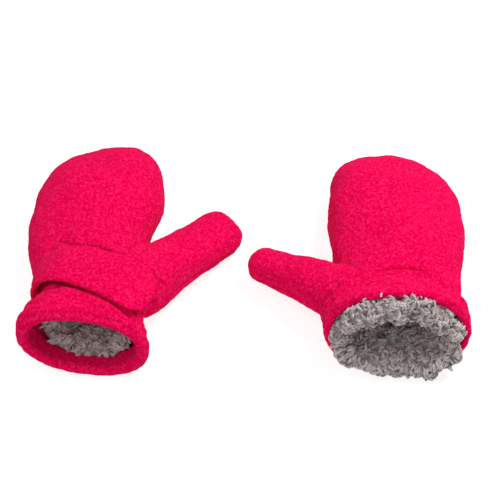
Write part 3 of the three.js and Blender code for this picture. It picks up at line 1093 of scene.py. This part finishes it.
def fleece_material(name, deep, middle, bright):
    """Brushed fleece: small lumps of nap, with painted shade between them and a painted pinkish highlight
    on their tops, over broader lumps with painted shade in their hollows.
    """
    sheen = {"Sheen Weight": 0.04, "Sheen Roughness": 0.5, "Sheen Tint": (1.0, 0.4, 0.55, 1)}
    material, tree = new_material(name, {"Roughness": 0.95, "Specular IOR Level": 0.0, **sheen})
    nap = noise(tree, NAP, 3.0, 0.6)
    lumps = noise(tree, NAP_LUMPS)
    shades = noise(tree, SHADES)
    # Painted shade and highlight: the nap's colour follows its bump, darkest in its hollows and lightest
    # and pinkest on its tops.
    colour = ramp(tree, nap, [(0.34, deep), (0.5, middle), (0.68, bright)])
    # Painted shade: the broader lumps are darkened in their hollows, where their bump is low.
    colour = multiplied(tree, colour, ramp(tree, lumps, [(0.3, (0.93, 0.9, 0.92)), (0.65, WHITE)]))
    colour = multiplied(tree, colour, ramp(tree, shades, [(0.3, (0.93, 0.9, 0.93)), (0.7, WHITE)]))
    coarse = bump(tree, lumps, 0.35, 0.0012)
    link_shader(tree, colour, bump(tree, nap, 0.5, 0.0008, coarse))
    return material


def pile_material(name, dark, light, strands):
    """Curly pile: warm grey strands, with painted shade that darkens them towards their roots."""
    sheen = {"Sheen Weight": 0.35, "Sheen Roughness": 0.5, "Sheen Tint": (1.0, 0.95, 0.95, 1)}
    material, tree = new_material(name, {"Roughness": 0.9, "Specular IOR Level": 0.2, **sheen})
    colour = ramp(tree, noise(tree, PILE_LOCKS, 3.0, 0.6), [(0.3, dark), (0.68, light)])
    if strands:
        strand = tree.nodes.new("ShaderNodeVertexColor")
        strand.layer_name = "strand"
        parts = add_node(tree, "ShaderNodeSeparateColor", {}, {"Color": strand.outputs["Color"]})
        # Painted shade: each strand is darker towards its root, where the pile around it shades it.
        root = ramp(tree, parts.outputs["Red"], [(0, (0.5, 0.48, 0.49)), (0.55, WHITE)])
        tint = ramp(tree, parts.outputs["Green"], [(0, (0.78, 0.76, 0.77)), (1, WHITE)])
        colour = multiplied(tree, multiplied(tree, colour, root), tint)
    link_shader(tree, colour, bump(tree, noise(tree, PILE_GRAIN), 0.6, 0.0006))
    return material


def tape_material(name, deep, bright, scale):
    """Woven tape covered with fine hooks or loops."""
    material, tree = new_material(name, {"Roughness": 0.6})
    dots = add_texture(tree, "ShaderNodeTexVoronoi", "Distance", {"Scale": scale, "Randomness": 0.35})
    link_shader(tree, ramp(tree, dots, [(0.1, bright), (0.6, deep)]), bump(tree, dots, 0.8, 0.0006))
    return material


def elastic_material(name):
    """Ribbed woven elastic."""
    material, tree = new_material(name, {"Roughness": 0.8})
    ribs = add_texture(tree, "ShaderNodeTexWave", "Fac", {"Scale": RIBS, "Distortion": 0.6})
    colour = ramp(tree, ribs, [(0, (0.55, 0.54, 0.52)), (1, (0.85, 0.84, 0.82))])
    link_shader(tree, colour, bump(tree, ribs, 0.5, 0.0004))
    return material


def floor_material():
    """A floor that glows a little, so that it stays pale in its soft shadows."""
    settings = {
        "Base Color": (0.3, 0.3, 0.3, 1),
        "Emission Color": (1, 1, 1, 1),
        "Emission Strength": 0.8,
        "Roughness": 0.9,
        "Specular IOR Level": 0.1,
    }
    return new_material("pale_floor", settings)[0]


def dress(item, material):
    """Gives the piece its only material."""
    item.data.materials.clear()
    item.data.materials.append(material)


# ---------------------------------------------------------------- studio

CAMERA_TARGET = Vector((0.0027, 0.0011, 0.020))
CAMERA_ELEVATION = 50.0
CAMERA_DISTANCE = 0.8
CAMERA_LENS = 85.0
CAMERA_SENSOR = 36.0
WORLD_LIGHT = 0.42
FLOOR_HALF = 15.0
FLOOR_DROP = 0.0002

# Each disk light's name, place, diameter and power.
LIGHTS = [
    ("key", (0.55, 0.25, 1.0), 0.45, 13.2),
    ("fill", (-0.6, -0.2, 0.9), 0.8, 4.0),
    ("front", (0.2, -0.9, 0.6), 0.6, 1.5),
]


def make_camera():
    data = bpy.data.cameras.new("camera")
    data.lens = CAMERA_LENS
    data.sensor_width = CAMERA_SENSOR
    data.clip_start = 0.02
    camera = in_scene("camera", data)
    elevation = math.radians(CAMERA_ELEVATION)
    away = Vector((0, -math.cos(elevation), math.sin(elevation)))
    camera.location = CAMERA_TARGET + CAMERA_DISTANCE * away
    camera.rotation_euler = away.to_track_quat("Z", "Y").to_euler()
    bpy.context.scene.camera = camera


def area_light(name, place, size, power, aim=(0, 0, 0.02)):
    """A soft disk of light that points at the mittens."""
    data = bpy.data.lights.new(name, "AREA")
    data.shape = "DISK"
    data.size = size
    data.energy = power
    light = in_scene(name, data)
    light.location = place
    light.rotation_euler = (Vector(place) - Vector(aim)).to_track_quat("Z", "Y").to_euler()


def make_studio():
    scene = bpy.context.scene
    world = bpy.data.worlds.new("soft_white")
    world.use_nodes = True
    world.node_tree.nodes["Background"].inputs["Color"].default_value = (1, 1, 1, 1)
    world.node_tree.nodes["Background"].inputs["Strength"].default_value = WORLD_LIGHT
    scene.world = world
    for light in LIGHTS:
        area_light(*light)
    scene.view_settings.view_transform = "Standard"
    signs = np.array([[-1, -1], [1, -1], [1, 1], [-1, 1]])
    corners = np.column_stack([signs * FLOOR_HALF, np.full(4, -FLOOR_DROP)])
    floor = make_object("floor", corners, [[0, 1, 2, 3]])
    floor.data.materials.append(floor_material())


# ---------------------------------------------------------------- the scene

make_camera()
make_studio()
# The fleece's colours: painted shade for the nap's hollows, its middle tone, and painted highlight for its
# tops.
fleece = fleece_material("red_fleece", (0.53, 0.0, 0.046), (0.65, 0.001, 0.064), (0.74, 0.014, 0.098))
# The lining's backing is painted in the curls' shaded root colour: painted shade, darker than the strands'
# own grey.
pile = pile_material("grey_pile", (0.11, 0.088, 0.088), (0.3, 0.255, 0.25), strands=False)
curled = pile_material("grey_curls", (0.28, 0.235, 0.235), (0.6, 0.525, 0.52), strands=True)
hooks = tape_material("hook_tape", (0.2, 0.002, 0.03), (0.6, 0.02, 0.1), 900)
loops = tape_material("loop_tape", (0.3, 0.003, 0.04), (0.75, 0.02, 0.12), 600)
elastic = elastic_material("woven_elastic")

for mitten in (LEFT, RIGHT):
    shell_pieces = make_shell(mitten)
    for piece in shell_pieces:
        dress(piece, fleece)
    hand_lining, thumb_lining, curls = make_lining(mitten)
    for piece in (hand_lining, thumb_lining):
        dress(piece, pile)
    dress(curls, curled)
    dress(make_strap(mitten), fleece)
    hook_patch, loop_patch = make_patches(mitten, shell_pieces[0])
    dress(hook_patch, hooks)
    dress(loop_patch, loops)
    dress(make_elastic(mitten), elastic)
